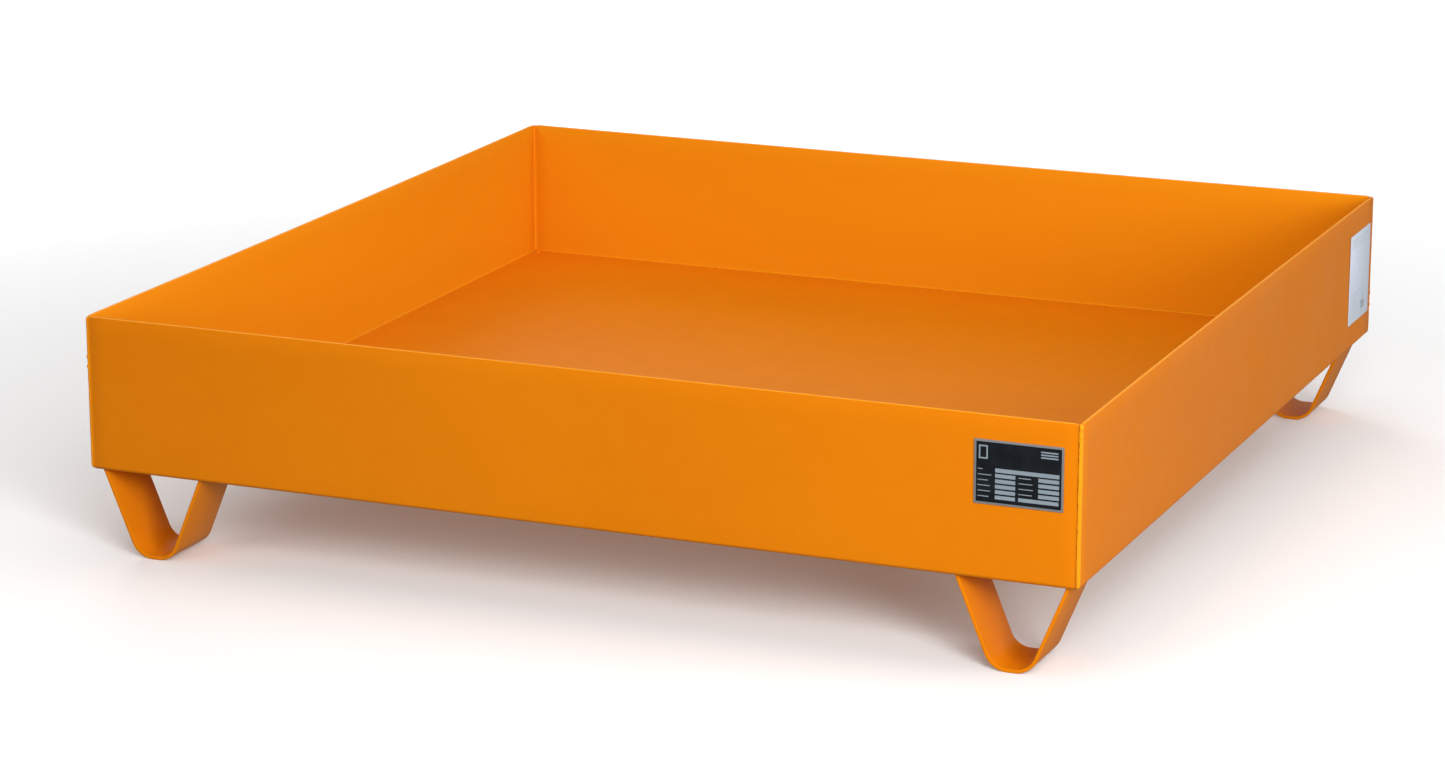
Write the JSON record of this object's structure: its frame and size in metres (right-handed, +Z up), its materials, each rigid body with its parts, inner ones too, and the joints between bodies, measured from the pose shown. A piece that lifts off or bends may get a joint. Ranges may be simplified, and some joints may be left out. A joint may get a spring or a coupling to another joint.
{
  "type": "spill containment pallet",
  "caption": "Square steel spill tray with upstand walls folded from one sheet and welded at the corners, standing on feet bent from flat strip.",
  "frame": {"origin": "on the floor, under the middle of the square tray", "axes": "+Z up; +X to the right along the front wall, which carries the type plate; +Y from the front wall to the back wall"},
  "size_m": [1.2006, 1.2011, 0.285],
  "materials": {
    "orange_paint": "satin orange powder coat over steel sheet",
    "painted_weld": "weld bead under the same orange powder coat",
    "type_plate": "black printed aluminium plate with bare silver fields",
    "label_paper": "white self-adhesive label with pale grey print"
  },
  "bodies": {
    "root": {"tray_sheet": "orange_paint", "foot_front_left": "orange_paint", "foot_front_right": "orange_paint", "foot_back_right": "orange_paint", "foot_back_left": "orange_paint", "corner_seam_front_left": "painted_weld", "corner_seam_front_right": "painted_weld", "corner_seam_back_right": "painted_weld", "corner_seam_back_left": "painted_weld", "weld_front_left_outer_leg_outside": "painted_weld", "weld_front_left_outer_leg_inside": "painted_weld", "weld_front_left_inner_leg_outside": "painted_weld", "weld_front_left_inner_leg_inside": "painted_weld", "weld_front_right_outer_leg_outside": "painted_weld", "weld_front_right_outer_leg_inside": "painted_weld", "weld_front_right_inner_leg_outside": "painted_weld", "weld_front_right_inner_leg_inside": "painted_weld", "weld_back_right_outer_leg_outside": "painted_weld", "weld_back_right_outer_leg_inside": "painted_weld", "weld_back_right_inner_leg_outside": "painted_weld", "weld_back_right_inner_leg_inside": "painted_weld", "weld_back_left_outer_leg_outside": "painted_weld", "weld_back_left_outer_leg_inside": "painted_weld", "weld_back_left_inner_leg_outside": "painted_weld", "weld_back_left_inner_leg_inside": "painted_weld", "type_plate": "type_plate", "paper_label": "label_paper"}
  },
  "joints": []
}
